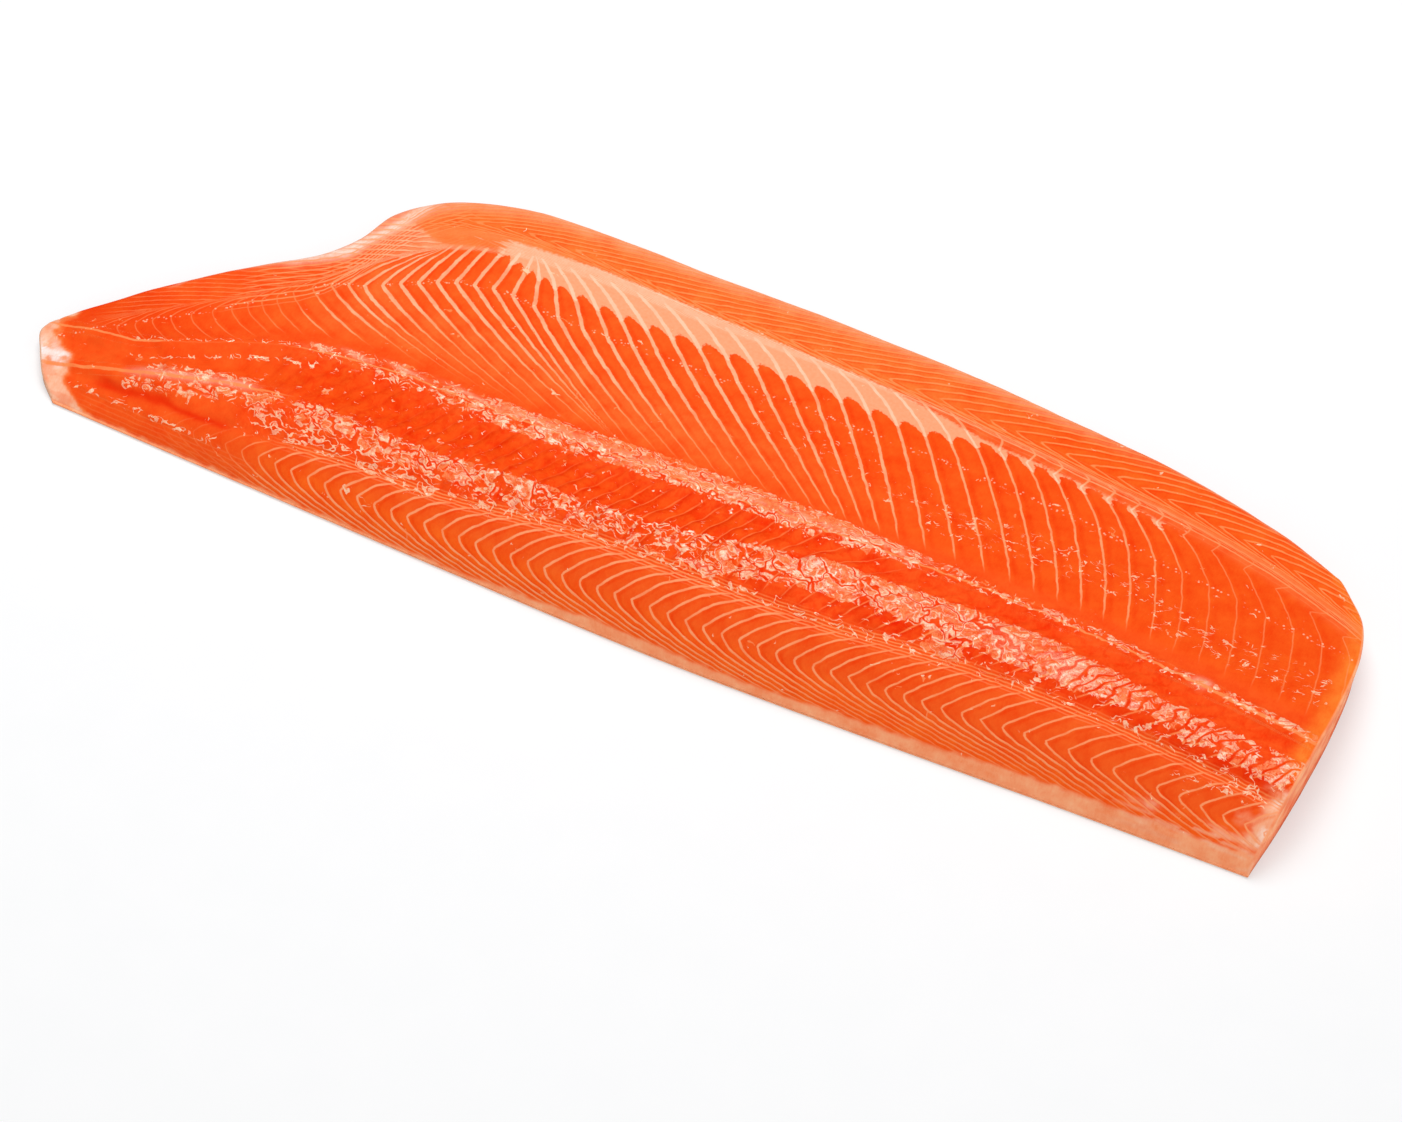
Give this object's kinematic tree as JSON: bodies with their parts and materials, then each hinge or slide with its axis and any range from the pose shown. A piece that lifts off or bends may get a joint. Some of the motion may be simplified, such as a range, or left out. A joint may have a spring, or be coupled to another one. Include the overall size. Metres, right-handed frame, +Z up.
{
  "type": "steelhead trout fillet",
  "caption": "Raw steelhead trout side, boned and trimmed, lying skin down: thick loin, thin belly flap, slanted tail cut and square head cut.",
  "frame": {"origin": "under the middle of the fillet, on the surface that its skin rests on", "axes": "+X along the fish from the tail cut to the head cut, +Y from the back edge to the belly edge, +Z up out of the flesh"},
  "size_m": [0.4303, 0.143, 0.0269],
  "materials": {
    "flesh": "wet raw flesh, orange with pale lines of connective tissue, on thin silvery skin"
  },
  "bodies": {
    "root": {"trout_fillet": "flesh"}
  },
  "joints": []
}
